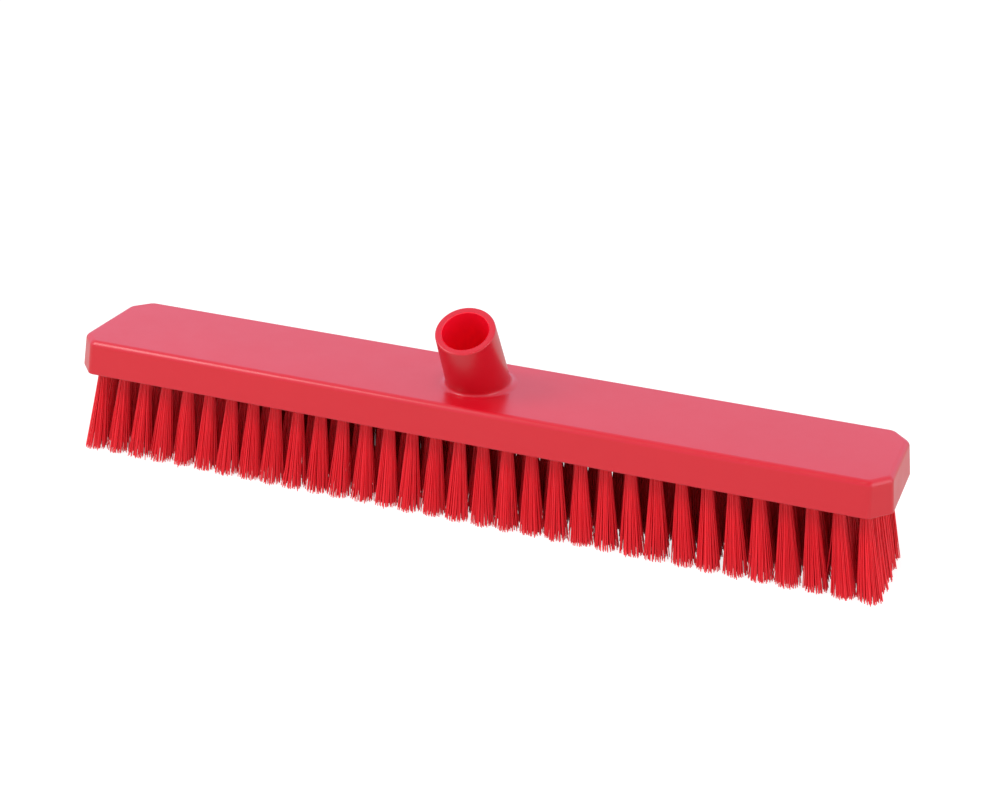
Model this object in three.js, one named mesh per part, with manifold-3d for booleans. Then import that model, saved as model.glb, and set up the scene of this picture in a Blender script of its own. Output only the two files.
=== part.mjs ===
// Push broom head: a moulded polypropylene block with its slanted handle socket, filled underneath
// with five rows of bristle tufts. Millimetres, +Z up, the bristle tips on Z = 0, the long side along X,
// and the socket leaning towards -Y, where the person who sweeps stands.
import * as THREE from "three";
import { mergeVertices } from "three/addons/utils/BufferGeometryUtils.js";
import Module from "manifold-3d";

// ---- Driving dimensions ----------------------------------------------------------------------------

// Block
const BLOCK_LENGTH = 500;
const BLOCK_WIDTH = 80;
const BLOCK_HEIGHT = 21;
const SIDE_DRAFT = 2; // how far each side wall leans in, from the underside to the top
const CHAMFER_ALONG = 11.5; // corner chamfer, measured along the length
const CHAMFER_ACROSS = 13; // and across the width
const PLAN_CORNER_RADIUS = 5; // rounding of the eight upright edges
const TOP_EDGE_RADIUS = 3.75;
const BOTTOM_EDGE_RADIUS = 0.8;

// Handle socket, one moulding with the block
const SOCKET_TILT = THREE.MathUtils.degToRad(30.5); // from upright, towards -Y
const SOCKET_LENGTH = 48; // along its axis, from the block's top to the mouth
const SOCKET_FOOT_Y = 1; // where the axis crosses the block's top
const SOCKET_WALL = 3.9; // at the mouth
const SOCKET_FLARE = 1.2; // how much larger the outer radius is at the foot
const SOCKET_RIM_ROUND = 1; // outer edge of the rim
const SOCKET_FILLET = 4.5; // between the socket and the block's top
const BORE_MOUTH_RADIUS = 13.6; // takes the tapered end of a 28 mm handle
const BORE_TAPER = 0.6; // how much smaller the radius is at the blind end
const BORE_LEAD_IN = 0.5; // chamfer at the mouth
const BORE_FLOOR = 3; // plastic between the bore's lowest point and the ends of the tuft holes

// Filling
const TRIM = 54; // free length of the bristles, from the block's underside to the tips
const ROW_COUNTS = [33, 32, 33, 33, 32]; // tufts in each row, from the front to the back
const END_MARGIN = 14.8; // from the block's ends to the last tufts
const SIDE_MARGIN = 12.5; // from its long sides to the outer rows
const FAN_OUT = 8; // how far the tips of a row's last tuft lie outside its hole
const HOLE_RADIUS = 3.1;
const HOLE_DEPTH = 13;
const TUFT_CLEARANCE = 0.3; // round a tuft in its hole, and between runs of tufts at the tips
const TIP_MINGLE = 0.5; // how far a tuft flares past the middle between it and its neighbour
const TUFTS_PER_RUN = 3; // neighbours that stand as one solid

// Fineness of round shapes
const SOCKET_SIDES = 40;
const TUFT_SIDES = 6;
const ARC_STEPS = 4;
const OVERRUN = 5; // how far a cutting solid passes the surface that it cuts
const WELD = 1e-4; // points nearer than this are one

const RED_BLOCK = { color: 0xd2141e, roughness: 0.35, metalness: 0 };
const RED_BRISTLE = { color: 0xc8101a, roughness: 0.5, metalness: 0 };

const wasm = await Module();
wasm.setup();

// ---- Solids ----------------------------------------------------------------------------------------

// A closed geometry as a solid that can be joined and cut.
function solid(geometry) {
  const bare = geometry.clone();
  bare.deleteAttribute("normal");
  bare.deleteAttribute("uv");
  const merged = mergeVertices(bare, WELD);
  return new wasm.Manifold(
    new wasm.Mesh({
      numProp: 3,
      vertProperties: merged.attributes.position.array,
      triVerts: new Uint32Array(merged.index.array),
    }),
  );
}

function namedMesh(name, body, look) {
  const { numProp, vertProperties, triVerts } = body.getMesh();
  const geometry = new THREE.BufferGeometry();
  const interleaved = new THREE.InterleavedBuffer(vertProperties, numProp);
  geometry.setAttribute("position", new THREE.InterleavedBufferAttribute(interleaved, 3, 0));
  geometry.setIndex(new THREE.BufferAttribute(triVerts, 1));
  const mesh = new THREE.Mesh(geometry.toNonIndexed(), new THREE.MeshStandardMaterial(look));
  mesh.geometry.computeVertexNormals();
  mesh.name = name;
  return mesh;
}

// A skin over rings of equally many points, closed at both ends by a fan from each ring's middle.
function loft(rings) {
  const count = rings[0].length;
  const middles = [rings[0], rings.at(-1)].map((ring) =>
    ring.reduce((sum, p) => sum.add(p), new THREE.Vector3()).divideScalar(count),
  );
  const triangles = [];
  for (let i = 0; i < count; i++) {
    const next = (i + 1) % count;
    triangles.push(middles[0], rings[0][next], rings[0][i]);
    triangles.push(middles[1], rings.at(-1)[i], rings.at(-1)[next]);
    for (let k = 1; k < rings.length; k++) {
      triangles.push(rings[k - 1][i], rings[k - 1][next], rings[k][next]);
      triangles.push(rings[k - 1][i], rings[k][next], rings[k][i]);
    }
  }
  return new THREE.BufferGeometry().setFromPoints(triangles);
}

// A turned shape about Z, from its [radius, height] profile, which starts and ends on the axis.
function turned(profile, sides) {
  const points = profile.map(([radius, height]) => new THREE.Vector2(radius, height));
  return new THREE.LatheGeometry(points, sides, Math.PI / 2).rotateX(Math.PI / 2);
}

// ---- Block -----------------------------------------------------------------------------------------

// The block's outline moved in by `inset`: an octagon whose eight corners are rounded.
function blockOutline(inset) {
  const halfLength = BLOCK_LENGTH / 2;
  const halfWidth = BLOCK_WIDTH / 2;
  const chamfer = Math.hypot(CHAMFER_ALONG, CHAMFER_ACROSS);
  const normal = new THREE.Vector2(CHAMFER_ACROSS, CHAMFER_ALONG).divideScalar(chamfer);
  const reach = normal.x * halfLength + normal.y * (halfWidth - CHAMFER_ACROSS) - inset;
  const x = halfLength - inset;
  const y = halfWidth - inset;
  const endCorner = [x, (reach - normal.x * x) / normal.y];
  const sideCorner = [(reach - normal.y * y) / normal.x, y];
  const quarter = [endCorner, sideCorner];
  const corners = [
    ...quarter,
    ...quarter.map(([a, b]) => [-a, b]).reverse(),
    ...quarter.map(([a, b]) => [-a, -b]),
    ...quarter.map(([a, b]) => [a, -b]).reverse(),
  ].map(([a, b]) => new THREE.Vector2(a, b));
  return corners.flatMap((corner, i) =>
    roundedCorner(corners.at(i - 1), corner, corners[(i + 1) % corners.length]),
  );
}

function roundedCorner(before, corner, after) {
  const toBefore = before.clone().sub(corner).normalize();
  const toAfter = after.clone().sub(corner).normalize();
  const half = toBefore.angleTo(toAfter) / 2;
  const middle = toBefore.clone().add(toAfter).normalize();
  const centre = middle.multiplyScalar(PLAN_CORNER_RADIUS / Math.sin(half)).add(corner);
  const start = toBefore.multiplyScalar(PLAN_CORNER_RADIUS / Math.tan(half)).add(corner).sub(centre);
  const turn = Math.PI - 2 * half;
  return Array.from({ length: ARC_STEPS + 1 }, (_, k) =>
    start.clone().rotateAround(new THREE.Vector2(), (turn * k) / ARC_STEPS).add(centre),
  );
}

const UNDERSIDE = TRIM;
const TOP = TRIM + BLOCK_HEIGHT;

// The block's side, from the underside to the top, as [inset, height] pairs.
function blockSide() {
  const side = [
    [BOTTOM_EDGE_RADIUS, UNDERSIDE],
    [0, UNDERSIDE + BOTTOM_EDGE_RADIUS],
  ];
  for (let k = 0; k <= ARC_STEPS; k++) {
    const angle = ((Math.PI / 2) * k) / ARC_STEPS;
    const inset = SIDE_DRAFT + TOP_EDGE_RADIUS * (1 - Math.cos(angle));
    side.push([inset, TOP - TOP_EDGE_RADIUS * (1 - Math.sin(angle))]);
  }
  return side;
}

function blockBody() {
  const rings = blockSide().map(([inset, height]) =>
    blockOutline(inset).map((p) => new THREE.Vector3(p.x, p.y, height)),
  );
  return solid(loft(rings));
}

// ---- Socket ----------------------------------------------------------------------------------------

const X_AXIS = new THREE.Vector3(1, 0, 0);
const SOCKET_AXIS = new THREE.Vector3(0, 0, 1).applyAxisAngle(X_AXIS, SOCKET_TILT);
const SOCKET_FOOT = new THREE.Vector3(0, SOCKET_FOOT_Y, TOP);
const SOCKET_MOUTH_RADIUS = BORE_MOUTH_RADIUS + SOCKET_WALL;
const SOCKET_FOOT_RADIUS = SOCKET_MOUTH_RADIUS + SOCKET_FLARE;
const BORE_END_RADIUS = BORE_MOUTH_RADIUS - BORE_TAPER;

// Moves a shape turned about Z, with the block's top at height 0, onto the socket's slanted axis.
function ontoSocket(geometry) {
  return geometry.rotateX(SOCKET_TILT).translate(SOCKET_FOOT.x, SOCKET_FOOT.y, SOCKET_FOOT.z);
}

// One line of the socket's outside, at an angle round its axis: up out of the block, along the hollow
// curve at the foot, which touches both the block's top and the wall, and over the rounded rim.
function socketLine(angle) {
  const out = new THREE.Vector3(Math.cos(angle), Math.sin(angle), 0).applyAxisAngle(X_AXIS, SOCKET_TILT);
  const at = (radius, height) =>
    SOCKET_FOOT.clone().addScaledVector(SOCKET_AXIS, height).addScaledVector(out, radius);
  const rim = Array.from({ length: ARC_STEPS + 1 }, (_, k) => {
    const turn = ((Math.PI / 2) * k) / ARC_STEPS;
    const radius = SOCKET_MOUTH_RADIUS - SOCKET_RIM_ROUND * (1 - Math.cos(turn));
    return at(radius, SOCKET_LENGTH - SOCKET_RIM_ROUND * (1 - Math.sin(turn)));
  });
  const wall = at(SOCKET_FOOT_RADIUS, 0).sub(rim[0]).normalize(); // down the wall
  const corner = rim[0].clone().addScaledVector(wall, (TOP - rim[0].z) / wall.z);
  const away = corner.clone().sub(SOCKET_FOOT).normalize();
  const fillet = new THREE.QuadraticBezierCurve3(
    corner.clone().addScaledVector(away, SOCKET_FILLET),
    corner,
    corner.clone().addScaledVector(wall, -SOCKET_FILLET),
  ).getPoints(ARC_STEPS);
  const sunk = fillet[0].clone().setZ(TOP - TOP_EDGE_RADIUS);
  return [sunk, ...fillet, ...rim];
}

function socketOutside() {
  const lines = Array.from({ length: SOCKET_SIDES }, (_, i) =>
    socketLine((2 * Math.PI * i) / SOCKET_SIDES),
  );
  return solid(loft(lines[0].map((_, k) => lines.map((line) => line[k]))));
}

function socketBore() {
  const drop = BORE_END_RADIUS * Math.sin(SOCKET_TILT); // of the slanted end's lowest point
  const end = (HOLE_DEPTH + BORE_FLOOR - BLOCK_HEIGHT + drop) / Math.cos(SOCKET_TILT);
  const past = SOCKET_LENGTH + OVERRUN;
  const profile = [
    [0, end],
    [BORE_END_RADIUS, end],
    [BORE_MOUTH_RADIUS, SOCKET_LENGTH - BORE_LEAD_IN],
    [BORE_MOUTH_RADIUS + BORE_LEAD_IN, SOCKET_LENGTH],
    [BORE_MOUTH_RADIUS + BORE_LEAD_IN, past],
    [0, past],
  ];
  return solid(ontoSocket(turned(profile, SOCKET_SIDES)));
}

// ---- Tufts -----------------------------------------------------------------------------------------

const ROW_SPAN = BLOCK_LENGTH - 2 * END_MARGIN;
const ROW_PITCH = (BLOCK_WIDTH - 2 * SIDE_MARGIN) / (ROW_COUNTS.length - 1);

const rowY = (row) => (row - (ROW_COUNTS.length - 1) / 2) * ROW_PITCH;
const tuftPitch = (row) => ROW_SPAN / (ROW_COUNTS[row] - 1);
const tuftX = (row, i) => i * tuftPitch(row) - ROW_SPAN / 2;
const fanAt = (x) => (FAN_OUT * x) / (ROW_SPAN / 2); // how far the tips lie out from the root at x

// Sets a shape whose hole mouth is at height 0 into its place in the block, leaning outwards.
function ontoTuft(geometry, x, y) {
  return geometry.rotateY(Math.atan2(-fanAt(x), TRIM)).translate(x, y, UNDERSIDE);
}

function tuftHole(x, y) {
  const profile = [[0, -OVERRUN], [HOLE_RADIUS, -OVERRUN], [HOLE_RADIUS, HOLE_DEPTH], [0, HOLE_DEPTH]];
  return solid(ontoTuft(turned(profile, TUFT_SIDES), x, y));
}

// A tuft runs on past its tips, so that the run's cell can cut it level.
function tuftBody(row, i) {
  const halfTipPitch = (tuftPitch(row) + fanAt(tuftPitch(row))) / 2;
  const root = HOLE_RADIUS - TUFT_CLEARANCE;
  const flare = (halfTipPitch + TIP_MINGLE - root) / TRIM;
  const past = TRIM + OVERRUN;
  const end = HOLE_DEPTH - TUFT_CLEARANCE;
  const profile = [[0, -past], [root + flare * past, -past], [root, 0], [root, end], [0, end]];
  return solid(ontoTuft(turned(profile, TUFT_SIDES), tuftX(row, i), rowY(row)));
}

// The space that a run of tufts keeps to: it ends halfway to the next run and to the next row,
// less half the clearance, and its ends lean with the tufts beside them.
function runCell(row, first, last) {
  const half = tuftPitch(row) / 2;
  const low = 0;
  const high = UNDERSIDE + HOLE_DEPTH;
  const edge = (x, side, z) => {
    const lean = (fanAt(x) * (UNDERSIDE - z)) / TRIM;
    return new THREE.Vector2(x + lean - (side * TUFT_CLEARANCE) / 2, z);
  };
  const left = tuftX(row, first) - half;
  const right = tuftX(row, last) + half;
  const shape = new THREE.Shape([
    edge(left, -1, low),
    edge(right, 1, low),
    edge(right, 1, high),
    edge(left, -1, high),
  ]);
  const depth = ROW_PITCH - TUFT_CLEARANCE;
  const cell = new THREE.ExtrudeGeometry(shape, { depth, bevelEnabled: false });
  return solid(cell.rotateX(Math.PI / 2).translate(0, rowY(row) + depth / 2, 0));
}

function tuftRun(row, first, last) {
  let body = tuftBody(row, first);
  for (let i = first + 1; i <= last; i++) body = body.add(tuftBody(row, i));
  return body.intersect(runCell(row, first, last));
}

// ---- Assembly --------------------------------------------------------------------------------------

const broomHead = new THREE.Group();

let block = blockBody().add(socketOutside()).subtract(socketBore());
ROW_COUNTS.forEach((count, row) => {
  for (let i = 0; i < count; i++) block = block.subtract(tuftHole(tuftX(row, i), rowY(row)));
});
broomHead.add(namedMesh("block", block, RED_BLOCK));

ROW_COUNTS.forEach((count, row) => {
  for (let first = 0, run = 1; first < count; first += TUFTS_PER_RUN, run++) {
    const last = Math.min(first + TUFTS_PER_RUN, count) - 1;
    const name = `row_${row + 1}_tufts_${String(run).padStart(2, "0")}`;
    broomHead.add(namedMesh(name, tuftRun(row, first, last), RED_BRISTLE));
  }
});

export default broomHead;
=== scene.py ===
from math import cos, hypot, pi, radians, sin, tan

import bmesh
import bpy
from mathutils import Matrix, Vector


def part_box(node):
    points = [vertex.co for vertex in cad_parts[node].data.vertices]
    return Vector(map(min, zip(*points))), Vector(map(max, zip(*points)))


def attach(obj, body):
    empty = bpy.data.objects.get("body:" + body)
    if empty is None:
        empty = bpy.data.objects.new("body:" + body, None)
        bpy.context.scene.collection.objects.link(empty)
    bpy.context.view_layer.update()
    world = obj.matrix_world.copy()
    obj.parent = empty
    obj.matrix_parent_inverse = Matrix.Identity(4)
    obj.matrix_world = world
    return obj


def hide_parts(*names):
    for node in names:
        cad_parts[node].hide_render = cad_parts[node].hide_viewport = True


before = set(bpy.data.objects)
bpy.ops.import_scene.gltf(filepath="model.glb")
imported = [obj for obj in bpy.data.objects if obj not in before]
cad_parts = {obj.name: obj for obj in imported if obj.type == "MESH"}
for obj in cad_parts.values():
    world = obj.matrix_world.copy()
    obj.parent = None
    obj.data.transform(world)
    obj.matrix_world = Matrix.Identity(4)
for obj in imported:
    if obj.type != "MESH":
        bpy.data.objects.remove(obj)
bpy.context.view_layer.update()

# ---- Studio ----------------------------------------------------------------------------------------
# A white sweep in a plain white room, with a large soft lamp high on the left, a weaker one low on the
# right and one overhead in front. The camera stands a good metre away, in front, to the right and above.

MM = 0.001
WHITE = (1.0, 1.0, 1.0, 1.0)


class Signal:
    """An output in a node tree. Python's operators on it add Math and Vector Math nodes."""

    def __init__(self, nodes, socket):
        self.nodes = nodes
        self.socket = socket

    def is_vector(self):
        return self.socket.type in ("VECTOR", "RGBA")

    def output(self, name):
        return Signal(self.nodes, self.socket.node.outputs[name])

    def __add__(self, other):
        if self.is_vector():
            return self.nodes.vector_maths("ADD", self, other)
        return self.nodes.maths("ADD", self, other)

    def __sub__(self, other):
        return self.nodes.maths("SUBTRACT", self, other)

    def __mul__(self, other):
        if self.is_vector():
            return self.nodes.add("ShaderNodeVectorMath", {"operation": "SCALE"}, {0: self, "Scale": other})
        return self.nodes.maths("MULTIPLY", self, other)

    def __truediv__(self, other):
        return self.nodes.maths("DIVIDE", self, other)

    def __pow__(self, other):
        return self.nodes.maths("POWER", self, other)

    def __gt__(self, other):
        return self.nodes.maths("GREATER_THAN", self, other)

    def __rsub__(self, other):
        return self.nodes.maths("SUBTRACT", other, self)

    __radd__ = __add__
    __rmul__ = __mul__


class Nodes:
    """A node tree that is filled by one method."""

    def __init__(self, tree):
        self.tree = tree

    def add(self, kind, settings=None, values=None):
        node = self.tree.nodes.new(kind)
        for name, value in (settings or {}).items():
            setattr(node, name, value)
        for key, value in (values or {}).items():
            if isinstance(value, Signal):
                self.tree.links.new(value.socket, node.inputs[key])
            else:
                node.inputs[key].default_value = value
        shown = [socket for socket in node.outputs if socket.enabled]
        return Signal(self, shown[0]) if shown else node

    def maths(self, operation, first, second=0.0):
        return self.add("ShaderNodeMath", {"operation": operation}, {0: first, 1: second})

    def vector_maths(self, operation, first, second=(0.0, 0.0, 0.0)):
        return self.add("ShaderNodeVectorMath", {"operation": operation}, {0: first, 1: second})

    def mix_colours(self, amount, first, second):
        colours = {0: amount, 6: first, 7: second}
        return self.add("ShaderNodeMix", {"data_type": "RGBA"}, colours)


def new_material(name):
    material = bpy.data.materials.new(name)
    material.use_nodes = True
    material.node_tree.nodes.clear()
    return material, Nodes(material.node_tree)


camera = bpy.data.objects.new("camera", bpy.data.cameras.new("camera"))
bpy.context.collection.objects.link(camera)
bpy.context.scene.camera = camera
camera.data.sensor_width = 36  # both in millimetres
camera.data.lens = 69.23

# The camera looks down on the broom from its azimuth and elevation, and is rolled a little.
AZIMUTH, ELEVATION, ROLL = radians(19.887), radians(23.576), radians(1.8945)
DISTANCE = 1.13222
AIM_RIGHT, AIM_UP = 0.013393, 0.0095  # how far the camera stands aside from the middle of the block
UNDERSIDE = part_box("block")[0][2]
backward = Vector((sin(AZIMUTH) * cos(ELEVATION), -cos(AZIMUTH) * cos(ELEVATION), sin(ELEVATION)))
level = Vector((0, 0, 1)).cross(backward).normalized()
upright = backward.cross(level)
right = cos(ROLL) * level + sin(ROLL) * upright
up = cos(ROLL) * upright - sin(ROLL) * level
place = backward * DISTANCE + right * AIM_RIGHT + up * AIM_UP + Vector((0, 0, UNDERSIDE))
camera.matrix_world = Matrix.Translation(place) @ Matrix((right, up, backward)).transposed().to_4x4()

bpy.context.scene.view_settings.view_transform = "Standard"

world = bpy.data.worlds.new("white_room")
bpy.context.scene.world = world
world.use_nodes = True
world.node_tree.nodes.clear()
room = Nodes(world.node_tree)
ROOM_LIGHT = 0.78  # on matt surfaces; seen directly and in reflections the room is white
DIM_CEILING = 0.55  # how much darker a reflection of the ceiling above the front is
CEILING = (0.1, -0.45, 0.89)  # the way to its middle
CEILING_EDGE, CEILING_FULL = 0.7, 0.95  # cosines of the angle from there
COOL_WHITE = (1.0, 1.0, 1.36, 1.0)
rays = room.add("ShaderNodeLightPath")
direct, mirrored = rays.output("Is Camera Ray"), rays.output("Is Glossy Ray")
seen = room.maths("MAXIMUM", room.maths("MAXIMUM", direct, mirrored), rays.output("Is Transmission Ray"))
towards = room.add("ShaderNodeTexCoord").output("Generated")
ceiling = room.vector_maths("DOT_PRODUCT", towards, CEILING).output("Value")
ceiling = room.add("ShaderNodeMapRange", {"interpolation_type": "SMOOTHSTEP"}, {
    "Value": ceiling, "From Min": CEILING_EDGE, "From Max": CEILING_FULL})
strength = ROOM_LIGHT + seen * (1 - ROOM_LIGHT) - mirrored * ceiling * DIM_CEILING
paper = room.mix_colours(mirrored, WHITE, COOL_WHITE)
glow = room.add("ShaderNodeBackground", {}, {"Color": paper, "Strength": strength})
room.add("ShaderNodeOutputWorld", {}, {"Surface": glow})


def soft_lamp(name, place, aim, width, power):
    lamp = bpy.data.lights.new(name, "AREA")
    lamp.shape = "SQUARE"
    lamp.size = width
    lamp.energy = power
    stand = bpy.data.objects.new(name, lamp)
    bpy.context.collection.objects.link(stand)
    stand.location = place
    stand.rotation_euler = (Vector(aim) - Vector(place)).to_track_quat("-Z", "Y").to_euler()
    return stand


soft_lamp("lamp_high_left", (-0.95, -0.75, 1.15), aim=(0, 0, 0.05), width=0.7, power=9)
soft_lamp("lamp_low_right", (1.25, -0.1, 0.45), aim=(0.1, 0, 0.06), width=0.8, power=3)
overhead = soft_lamp("lamp_overhead", (0.15, -0.8, 1.35), aim=(0, 0, 0.1), width=0.5, power=8)
overhead.visible_glossy = False

FLOOR_SIZE = 30
FLOOR_ALBEDO = 0.74
FLOOR_GLOW = 0.78  # seen directly or mirrored, on top of the part of the light that shows a shadow
FLOOR_SHADOWED = 0.32
FLOOR_DULL = 0.35  # how much less it glows in a reflection
floor_mesh = bpy.data.meshes.new("floor")
corners = [(x * FLOOR_SIZE, y * FLOOR_SIZE, 0) for x, y in ((-1, -1), (1, -1), (1, 1), (-1, 1))]
floor_mesh.from_pydata(corners, [], [(0, 1, 2, 3)])
floor = bpy.data.objects.new("floor", floor_mesh)
bpy.context.collection.objects.link(floor)
sweep, nodes = new_material("white_sweep")
bounce = nodes.add("ShaderNodeBsdfDiffuse", {}, {"Color": (FLOOR_ALBEDO,) * 3 + (1,)})
shadowed = nodes.add("ShaderNodeBsdfDiffuse", {}, {"Color": (FLOOR_SHADOWED,) * 3 + (1,)})
rays = nodes.add("ShaderNodeLightPath")
strength = FLOOR_GLOW - rays.output("Is Glossy Ray") * FLOOR_DULL
glowing = nodes.add("ShaderNodeEmission", {}, {"Color": WHITE, "Strength": strength})
shown = nodes.add("ShaderNodeAddShader", {}, {0: shadowed, 1: glowing})
seen = rays.output("Is Camera Ray") + rays.output("Is Glossy Ray")
surface = nodes.add("ShaderNodeMixShader", {}, {0: seen, 1: bounce, 2: shown})
nodes.add("ShaderNodeOutputMaterial", {}, {"Surface": surface})
floor_mesh.materials.append(sweep)

# ---- Tuft layout -----------------------------------------------------------------------------------
# The holes are drilled in five rows. Two rows have one hole fewer over the same length, so their tufts
# stand in the gaps of the others in the middle of the brush. The drill leans outwards towards the ends.

ROW_COUNTS = (33, 32, 33, 33, 32)  # from the front to the back
ROW_SPAN = 470.4 * MM
ROW_PITCH = 13.75 * MM
FAN_OUT = 8 * MM  # of the last tuft's tips
TRIM = UNDERSIDE  # the tips stand on the floor
HOLE_RADIUS = 3.1 * MM
HOLE_DEPTH = 13 * MM


def tuft_points(name, rows):
    """A mesh with one vertex at the mouth of each hole, and its lean per metre of depth."""
    places = []
    for row in rows:
        y = (row - (len(ROW_COUNTS) - 1) / 2) * ROW_PITCH
        for i in range(ROW_COUNTS[row]):
            places.append(((i / (ROW_COUNTS[row] - 1) - 0.5) * ROW_SPAN, y, UNDERSIDE))
    mesh = bpy.data.meshes.new(name)
    mesh.from_pydata(places, [], [])
    lean = mesh.attributes.new("lean", "FLOAT_VECTOR", "POINT")
    for vertex, (x, _, _) in zip(lean.data, places):
        vertex.vector = (FAN_OUT * x / (ROW_SPAN / 2) / TRIM, 0, -1)
    points = bpy.data.objects.new(name, mesh)
    bpy.context.collection.objects.link(points)
    return points


class Growth(Nodes):
    """A Geometry Nodes tree with one geometry in, named sizes, and one geometry out."""

    KINDS = {float: "NodeSocketFloat", int: "NodeSocketInt", bpy.types.Object: "NodeSocketObject"}

    def __init__(self, name, sizes):
        super().__init__(bpy.data.node_groups.new(name, "GeometryNodeTree"))
        face = self.tree.interface
        face.new_socket("Geometry", in_out="INPUT", socket_type="NodeSocketGeometry")
        face.new_socket("Geometry", in_out="OUTPUT", socket_type="NodeSocketGeometry")
        self.values = {}
        for size, value in sizes.items():
            socket = face.new_socket(size, in_out="INPUT", socket_type=self.KINDS[type(value)])
            self.values[socket.identifier] = value
        self.inputs = self.add("NodeGroupInput")

    def size(self, name):
        return self.inputs.output(name)

    def named(self, name, kind="FLOAT"):
        return self.add("GeometryNodeInputNamedAttribute", {"data_type": kind}, {"Name": name})

    def store(self, geometry, name, value, kind="FLOAT", domain="POINT"):
        settings = {"data_type": kind, "domain": domain}
        return self.add("GeometryNodeStoreNamedAttribute", settings,
                        {"Geometry": geometry, "Name": name, "Value": value})

    def random(self, low, high, seed):
        kind = "FLOAT_VECTOR" if isinstance(low, tuple) else "FLOAT"
        keys = (0, 1) if kind == "FLOAT_VECTOR" else (2, 3)
        return self.add("FunctionNodeRandomValue", {"data_type": kind},
                        {keys[0]: low, keys[1]: high, "Seed": seed})

    def finish(self, geometry, material):
        whole = self.add("GeometryNodeRealizeInstances", {}, {"Geometry": geometry})
        painted = self.add("GeometryNodeSetMaterial", {}, {"Geometry": whole, "Material": material})
        self.add("NodeGroupOutput", {}, {0: painted})

    def grow_on(self, piece):
        """Runs the tree on a piece, and leaves the result as the piece's plain mesh."""
        modifier = piece.modifiers.new(self.tree.name, "NODES")
        modifier.node_group = self.tree
        for identifier, value in self.values.items():
            modifier[identifier] = value
        bake(piece)


def bake(piece):
    """Replaces a piece's mesh by what its modifiers make of it."""
    bpy.context.view_layer.update()
    evaluated = piece.evaluated_get(bpy.context.evaluated_depsgraph_get())
    mesh = bpy.data.meshes.new_from_object(evaluated, preserve_all_data_layers=True,
                                           depsgraph=bpy.context.evaluated_depsgraph_get())
    piece.modifiers.clear()
    piece.data = mesh
    mesh.name = piece.name


# ---- Block with its handle socket ------------------------------------------------------------------
# One polypropylene moulding: a long slab with chamfered corners, drafted sides and a rounded top edge,
# and a tapered socket that leans towards the sweeper. The tuft holes are drilled into its underside.

HEIGHT = 21 * MM
LENGTH = 500 * MM
WIDTH = 80 * MM
DRAFT = 2 * MM
CHAMFER_ALONG, CHAMFER_ACROSS = 11.5 * MM, 13 * MM
PLAN_ROUND = 5 * MM
TOP_ROUND = 3.75 * MM
BOTTOM_ROUND = 0.8 * MM
TOP = UNDERSIDE + HEIGHT
ARC = 8  # steps in a rounded edge


def steps(count):
    return [i / count for i in range(count + 1)]


def rounded_corner(before, corner, after):
    to_before = (before - corner).normalized()
    to_after = (after - corner).normalized()
    half = to_before.angle(to_after) / 2
    centre = corner + (to_before + to_after).normalized() * (PLAN_ROUND / sin(half))
    start = corner + to_before * (PLAN_ROUND / tan(half)) - centre
    turn = pi - 2 * half
    return [centre + Matrix.Rotation(turn * t, 2) @ start for t in steps(ARC)]


def block_outline(inset):
    """The slab's outline moved in by inset: an octagon with rounded corners."""
    slant = hypot(CHAMFER_ALONG, CHAMFER_ACROSS)
    across, along = CHAMFER_ACROSS / slant, CHAMFER_ALONG / slant
    reach = across * LENGTH / 2 + along * (WIDTH / 2 - CHAMFER_ACROSS) - inset
    x, y = LENGTH / 2 - inset, WIDTH / 2 - inset
    end = Vector((x, (reach - across * x) / along))
    side = Vector(((reach - along * y) / across, y))
    corners = []
    for sx, sy in ((1, 1), (-1, 1), (-1, -1), (1, -1)):
        pair = [Vector((sx * end.x, sy * end.y)), Vector((sx * side.x, sy * side.y))]
        corners += pair if sx == sy else pair[::-1]
    around = zip(corners[-1:] + corners[:-1], corners, corners[1:] + corners[:1])
    return [point for three in around for point in rounded_corner(*three)]


def lofted(name, rings):
    """A closed skin over rings of equally many points, which run anticlockwise from low to high."""
    form = bmesh.new()
    rows = [[form.verts.new(point) for point in ring] for ring in rings]
    form.faces.new(rows[0][::-1])
    form.faces.new(rows[-1])
    for low, high in zip(rows, rows[1:]):
        for i, vertex in enumerate(low):
            form.faces.new((low[i - 1], vertex, high[i], high[i - 1]))
    mesh = bpy.data.meshes.new(name)
    form.to_mesh(mesh)
    form.free()
    piece = bpy.data.objects.new(name, mesh)
    bpy.context.collection.objects.link(piece)
    return piece


side = [(BOTTOM_ROUND * (1 - sin(pi / 2 * t)), UNDERSIDE + BOTTOM_ROUND * (1 - cos(pi / 2 * t)))
        for t in steps(ARC // 2)]
side += [(DRAFT + TOP_ROUND * (1 - cos(pi / 2 * t)), TOP - TOP_ROUND * (1 - sin(pi / 2 * t)))
         for t in steps(ARC)]
block = lofted("block_moulding", [[point.to_3d() + Vector((0, 0, height)) for point in block_outline(inset)]
                                  for inset, height in side])

SOCKET_TILT = radians(30.5)
SOCKET_LENGTH = 48 * MM
SOCKET_FOOT = Vector((0, 1 * MM, TOP))
MOUTH_RADIUS, FOOT_RADIUS = 17.5 * MM, 18.7 * MM
RIM_ROUND = 1 * MM
FOOT_FILLET = 4.5 * MM
BORE_MOUTH, BORE_END = 13.6 * MM, 13 * MM
BORE_LEAD_IN = 0.5 * MM
BORE_FLOOR = 3 * MM
CUT_OVERRUN = 4.8 * MM  # how far the bore's cutter stands out of the mouth
SOCKET_SIDES = 96
tilt = Matrix.Rotation(SOCKET_TILT, 3, "X")


def on_socket(angle, radius, height):
    """A point round the socket's slanted axis, at a height from the block's top."""
    return SOCKET_FOOT + tilt @ Vector((radius * cos(angle), radius * sin(angle), height))


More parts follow.
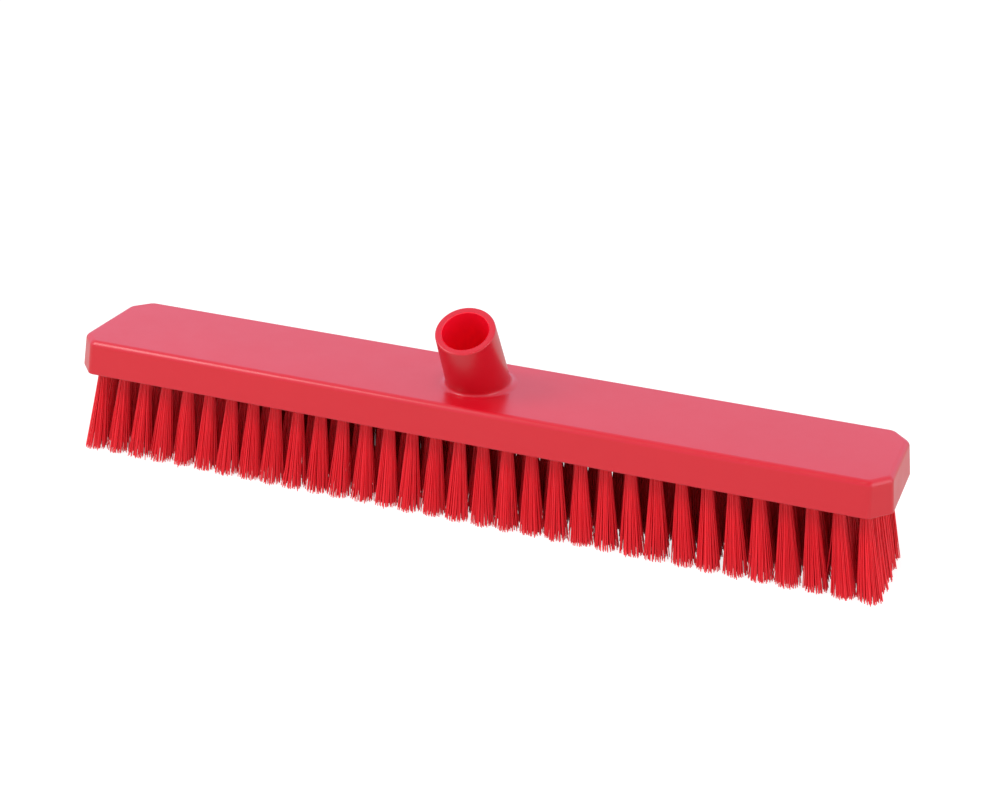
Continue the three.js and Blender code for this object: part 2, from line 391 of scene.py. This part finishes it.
def socket_line(angle):
    rim = [on_socket(angle, MOUTH_RADIUS - RIM_ROUND * (1 - cos(pi / 2 * t)),
                     SOCKET_LENGTH - RIM_ROUND * (1 - sin(pi / 2 * t))) for t in steps(ARC)]
    down = (on_socket(angle, FOOT_RADIUS, 0) - rim[0]).normalized()
    corner = rim[0] + down * ((TOP - rim[0].z) / down.z)
    away = (corner - SOCKET_FOOT).normalized()
    low, high = corner + away * FOOT_FILLET, corner - down * FOOT_FILLET
    fillet = [low * (1 - t) ** 2 + corner * (2 * t * (1 - t)) + high * t ** 2 for t in steps(ARC)]
    return [Vector((low.x, low.y, TOP - TOP_ROUND)), *fillet, *rim]


angles = [2 * pi * i / SOCKET_SIDES for i in range(SOCKET_SIDES)]
lines = [socket_line(angle) for angle in angles]
socket = lofted("socket", zip(*lines))
blind_end = (HOLE_DEPTH + BORE_FLOOR - HEIGHT + BORE_END * sin(SOCKET_TILT)) / cos(SOCKET_TILT)
bore_line = [(BORE_END, blind_end), (BORE_MOUTH, SOCKET_LENGTH - BORE_LEAD_IN),
             (BORE_MOUTH + BORE_LEAD_IN, SOCKET_LENGTH),
             (BORE_MOUTH + BORE_LEAD_IN, SOCKET_LENGTH + CUT_OVERRUN)]
bore_rings = [[on_socket(angle, radius, height) for angle in angles] for radius, height in bore_line]
bore = lofted("bore", bore_rings)

for tool, operation in ((socket, "UNION"), (bore, "DIFFERENCE")):
    cut = block.modifiers.new(tool.name, "BOOLEAN")
    cut.object = tool
    cut.operation = operation
    cut.solver = "MANIFOLD"
bake(block)

# The plastic: a clean red with a faint flow pattern, a fine orange-peel skin, and tiny specks.
PLASTIC_RED = (0.57, 0.003, 0.014, 1)
PLASTIC_DEEP = (0.53, 0.002, 0.011, 1)
PLASTIC_PALE = (0.80, 0.09, 0.11, 1)
# painted light: the bore's wall gets a paler red than the rest of the moulding, to brighten it
BORE_PAINTED_LIGHT_RED = (0.95, 0.006, 0.03, 1)
SPECK_SIZE = 0.028  # of the spacing of the specks
plastic, nodes = new_material("red_polypropylene")
spot = nodes.add("ShaderNodeTexCoord").output("Object")
flow = nodes.add("ShaderNodeTexNoise", {}, {
    "Vector": spot, "Scale": 14.0, "Detail": 3.0, "Distortion": 0.6})
peel = nodes.add("ShaderNodeTexNoise", {}, {"Vector": spot, "Scale": 620.0, "Detail": 3.0})
grime = nodes.add("ShaderNodeTexNoise", {}, {
    "Vector": spot, "Scale": 55.0, "Detail": 6.0, "Roughness": 0.7})
dust = nodes.add("ShaderNodeTexVoronoi", {}, {"Vector": spot, "Scale": 190.0, "Randomness": 1.0})
speck = nodes.maths("MAXIMUM", SPECK_SIZE - dust) * 25.0
tint = nodes.mix_colours(flow, PLASTIC_DEEP, PLASTIC_RED)
tint = nodes.mix_colours(speck, tint, PLASTIC_PALE)
# The bore's wall is a lighter red: painted light, which stands for the light that comes through the
# plastic.
from_foot = nodes.vector_maths("SUBTRACT", spot, SOCKET_FOOT)
axis = tilt @ Vector((0, 0, 1))
height = nodes.vector_maths("DOT_PRODUCT", from_foot, axis).output("Value")
offset = nodes.vector_maths("CROSS_PRODUCT", from_foot, axis)
offset = nodes.vector_maths("LENGTH", offset).output("Value")
in_bore = (height > blind_end - BORE_LEAD_IN) * (BORE_MOUTH + BORE_LEAD_IN / 2 - offset > 0.0)
tint = nodes.mix_colours(in_bore, tint, BORE_PAINTED_LIGHT_RED)
skin = nodes.add("ShaderNodeBump", {}, {
    "Strength": 0.25, "Distance": 0.04 * MM, "Height": peel + grime * 0.5})
gloss = nodes.add("ShaderNodeBsdfPrincipled", {}, {
    "Base Color": tint, "Roughness": 0.24 + grime * 0.14, "Normal": skin, "IOR": 1.57})
nodes.add("ShaderNodeOutputMaterial", {}, {"Surface": gloss})

drill = Growth("drilled_holes", {"Tufts": tuft_points("holes", range(5)), "Radius": HOLE_RADIUS,
                                 "Depth": HOLE_DEPTH, "Sides": 16})
targets = drill.add("GeometryNodeObjectInfo", {}, {"Object": drill.size("Tufts")}).output("Geometry")
pin = drill.add("GeometryNodeMeshCylinder", {}, {
    "Vertices": drill.size("Sides"), "Radius": drill.size("Radius"), "Depth": drill.size("Depth") * 2.0})
turn = drill.add("FunctionNodeAlignRotationToVector", {"axis": "Z"},
                 {"Vector": drill.named("lean", "FLOAT_VECTOR")})
pins = drill.add("GeometryNodeInstanceOnPoints", {}, {"Points": targets, "Instance": pin, "Rotation": turn})
pins = drill.add("GeometryNodeRealizeInstances", {}, {"Geometry": pins})
drilled = drill.add("GeometryNodeMeshBoolean", {"operation": "DIFFERENCE", "solver": "MANIFOLD"},
                    {"Mesh 1": drill.size("Geometry"), "Mesh 2": pins})
drill.finish(drilled, plastic)
drill.grow_on(block)
for tool in (socket, bore, bpy.data.objects["holes"]):
    bpy.data.objects.remove(tool)

SHARP = radians(32)
block.data.polygons.foreach_set("use_smooth", [True] * len(block.data.polygons))
block.data.set_sharp_from_angle(angle=SHARP)
shading = block.modifiers.new("flat_faces_stay_flat", "WEIGHTED_NORMAL")
shading.keep_sharp = True
bake(block)
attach(block, "root")
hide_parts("block")

# ---- Anchors ---------------------------------------------------------------------------------------
# Each tuft is folded over a short piece of flat steel wire, which the filling machine drives into the
# bottom of the hole. On the real brush the wire's ends bite into the plastic; here they stop just short.

ANCHOR_LENGTH = 6.0 * MM
ANCHOR_HEIGHT = 2.0 * MM
ANCHOR_GAUGE = 0.4 * MM
ANCHOR_UP = 10.4 * MM  # from the block's underside
ANCHOR_TWIST = 0.25
ANCHOR_SEED = 5

# The wire: drawn steel, faintly mottled.
steel, nodes = new_material("anchor_steel")
spot = nodes.add("ShaderNodeTexCoord").output("Object")
draw = nodes.add("ShaderNodeTexNoise", {}, {"Vector": spot, "Scale": 900.0, "Detail": 4.0})
metal = nodes.add("ShaderNodeBsdfPrincipled", {}, {
    "Base Color": nodes.mix_colours(draw, (0.45, 0.45, 0.46, 1), (0.66, 0.66, 0.67, 1)),
    "Metallic": 1.0, "Roughness": 0.28 + draw * 0.2})
nodes.add("ShaderNodeOutputMaterial", {}, {"Surface": metal})

staples = Growth("anchor_wires", {"Length": ANCHOR_LENGTH, "Height": ANCHOR_HEIGHT, "Gauge": ANCHOR_GAUGE,
                                  "Up": ANCHOR_UP})
section = staples.add("GeometryNodeCurvePrimitiveQuadrilateral", {"mode": "RECTANGLE"}, {
    "Width": staples.size("Gauge"), "Height": staples.size("Height")})
section = staples.add("GeometryNodeFilletCurve", {"mode": "POLY"},
                      {"Curve": section, "Radius": staples.size("Gauge") / 2.5, "Count": 2})
spine = staples.add("GeometryNodeCurvePrimitiveLine", {}, {
    "Start": staples.add("ShaderNodeCombineXYZ", {}, {"X": staples.size("Length") / -2.0}),
    "End": staples.add("ShaderNodeCombineXYZ", {}, {"X": staples.size("Length") / 2.0})})
wire = staples.add("GeometryNodeCurveToMesh", {}, {
    "Curve": spine, "Profile Curve": section, "Fill Caps": True})
raised = staples.named("lean", "FLOAT_VECTOR") * (staples.size("Up") * -1.0)
seats = staples.add("GeometryNodeSetPosition", {}, {"Geometry": staples.size("Geometry"), "Offset": raised})
twist = staples.random((0.0, 0.0, -ANCHOR_TWIST), (0.0, 0.0, ANCHOR_TWIST), ANCHOR_SEED)
wires = staples.add("GeometryNodeInstanceOnPoints", {}, {
    "Points": seats, "Instance": wire, "Rotation": twist})
staples.finish(wires, steel)
anchors = tuft_points("anchors", range(5))
staples.grow_on(anchors)
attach(anchors, "root")

# ---- Bristles --------------------------------------------------------------------------------------
# Red polyester filaments, over half a millimetre thick, gathered into tufts. Each tuft fills its hole
# and flares towards the tips, where every filament has its own small bend and its own trimmed length.

TIP_CLEARANCE = 0.15 * MM
FILAMENTS = 92
FILAMENT_RADIUS = 0.285 * MM
ROOT_RADIUS = 2.7 * MM
TIP_RADIUS = 7.3 * MM
FILAMENT_BEND = 0.55 * MM
STRAY_BEND = 4 * MM
TUFT_SWAY = 0.7 * MM
STRAY_SHARE = 0.025  # of the filaments
WOBBLE = 0.3  # of a filament's radius, at the root
SHORTEST = 0.99  # of the trim
ROOT_GAP = 1.2 * MM  # between the fold and the bottom of the hole
SEED_STEP = 100  # from row to row
GOLDEN_ANGLE = 2.39996  # spreads the filaments evenly over the hole

# The filament: every one has its own shade of red, and a painted highlight makes it a little paler at the
# tip, where the tufts are lit.
bristle, nodes = new_material("red_filament")
along = nodes.add("ShaderNodeAttribute", {"attribute_name": "along"}).output("Fac")
tone = nodes.add("ShaderNodeAttribute", {"attribute_name": "tone"}).output("Fac")
spot = nodes.add("ShaderNodeTexCoord").output("Object")
streak = nodes.add("ShaderNodeTexNoise", {}, {"Vector": spot, "Scale": 350.0, "Detail": 2.0})
shade = nodes.mix_colours(tone, (0.84, 0.004, 0.016, 1), (0.96, 0.018, 0.034, 1))
# painted highlight: the last part of each filament is mixed towards a paler red, for the light on the tips
shade = nodes.mix_colours(along ** 6.0 * 0.35, shade, (0.97, 0.05, 0.07, 1))
shine = nodes.add("ShaderNodeBsdfPrincipled", {}, {
    "Base Color": shade, "Roughness": 0.30 + streak * 0.2, "IOR": 1.5,
    "Normal": nodes.add("ShaderNodeBump", {}, {"Strength": 0.2, "Distance": 0.02 * MM, "Height": streak})})
nodes.add("ShaderNodeOutputMaterial", {}, {"Surface": shine})


def bristle_row(seed):
    sizes = {"Filaments": FILAMENTS, "Filament Radius": FILAMENT_RADIUS, "Root Radius": ROOT_RADIUS,
             "Tip Radius": TIP_RADIUS, "Trim": TRIM - TIP_CLEARANCE, "Depth": HOLE_DEPTH - ROOT_GAP,
             "Bend": FILAMENT_BEND, "Stray Bend": STRAY_BEND, "Sway": TUFT_SWAY, "Shortest": SHORTEST}
    tree = Growth("bristle_row", sizes)
    sway = tree.random((-1.0, -1.0, 0.0), (1.0, 1.0, 0.0), seed) * tree.size("Sway")
    tufts = tree.store(tree.size("Geometry"), "sway", sway, "FLOAT_VECTOR")
    tufts = tree.store(tufts, "start", tree.random(0.0, 2 * pi, seed + 1))
    copies = tree.add("GeometryNodeDuplicateElements", {"domain": "POINT"},
                      {"Geometry": tufts, "Amount": tree.size("Filaments")})
    number = copies.output("Duplicate Index")
    angle = number * GOLDEN_ANGLE + tree.named("start")
    share = ((number + 0.5) / tree.size("Filaments")) ** 0.5
    east = share * tree.maths("COSINE", angle)
    north = share * tree.maths("SINE", angle)
    ring = tree.add("ShaderNodeCombineXYZ", {}, {"X": east, "Y": north})
    stray = tree.random(0.0, 1.0, seed + 2) > 1 - STRAY_SHARE
    bend = tree.random((-1.0, -1.0, 0.0), (1.0, 1.0, 0.0), seed + 3)
    bend = bend * (tree.size("Bend") + stray * tree.size("Stray Bend")) + tree.named("sway", "FLOAT_VECTOR")
    wobble = tree.random((-WOBBLE, -WOBBLE, 0.0), (WOBBLE, WOBBLE, 0.0), seed + 4)
    wobble = wobble * tree.size("Filament Radius")
    position = tree.add("GeometryNodeInputPosition")
    points = tree.store(copies, "root", position + ring * tree.size("Root Radius") + wobble, "FLOAT_VECTOR")
    points = tree.store(points, "flare", ring * (tree.size("Tip Radius") - tree.size("Root Radius")),
                        "FLOAT_VECTOR")
    points = tree.store(points, "bend", bend, "FLOAT_VECTOR")
    cut = 1.0 - tree.random(0.0, 1.0, seed + 5) ** 2.0 * (1.0 - tree.size("Shortest"))
    points = tree.store(points, "reach", cut)
    points = tree.store(points, "tone", tree.random(0.0, 1.0, seed + 6))
    strand = tree.add("GeometryNodeCurvePrimitiveLine")
    strand = tree.add("GeometryNodeResampleCurve", {}, {"Curve": strand, "Count": 8})
    strands = tree.add("GeometryNodeInstanceOnPoints", {}, {"Points": points, "Instance": strand})
    strands = tree.add("GeometryNodeRealizeInstances", {}, {"Geometry": strands})
    share = tree.add("GeometryNodeSplineParameter").output("Factor")
    depth, trim = tree.size("Depth"), tree.size("Trim")
    below = share * (depth + trim * tree.named("reach")) - depth
    out = tree.maths("MAXIMUM", below) / trim
    path = tree.named("root", "FLOAT_VECTOR") + tree.named("lean", "FLOAT_VECTOR") * below
    path = path + tree.named("flare", "FLOAT_VECTOR") * out
    path = path + tree.named("bend", "FLOAT_VECTOR") * out ** 2.0
    strands = tree.store(strands, "along", out)
    strands = tree.add("GeometryNodeSetPosition", {}, {"Geometry": strands, "Position": path})
    section = tree.add("GeometryNodeCurvePrimitiveCircle", {}, {
        "Resolution": 4, "Radius": tree.size("Filament Radius")})
    solid = tree.add("GeometryNodeCurveToMesh", {}, {
        "Curve": strands, "Profile Curve": section, "Fill Caps": True})
    solid = tree.add("GeometryNodeSetShadeSmooth", {}, {"Geometry": solid})
    tree.finish(solid, bristle)
    return tree


for row in range(len(ROW_COUNTS)):
    name = "row_%d" % (row + 1)
    bristles = tuft_points(name + "_bristles", [row])
    bristle_row(SEED_STEP * row + 10).grow_on(bristles)
    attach(bristles, "root")
    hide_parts(*[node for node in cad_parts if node.startswith(name)])
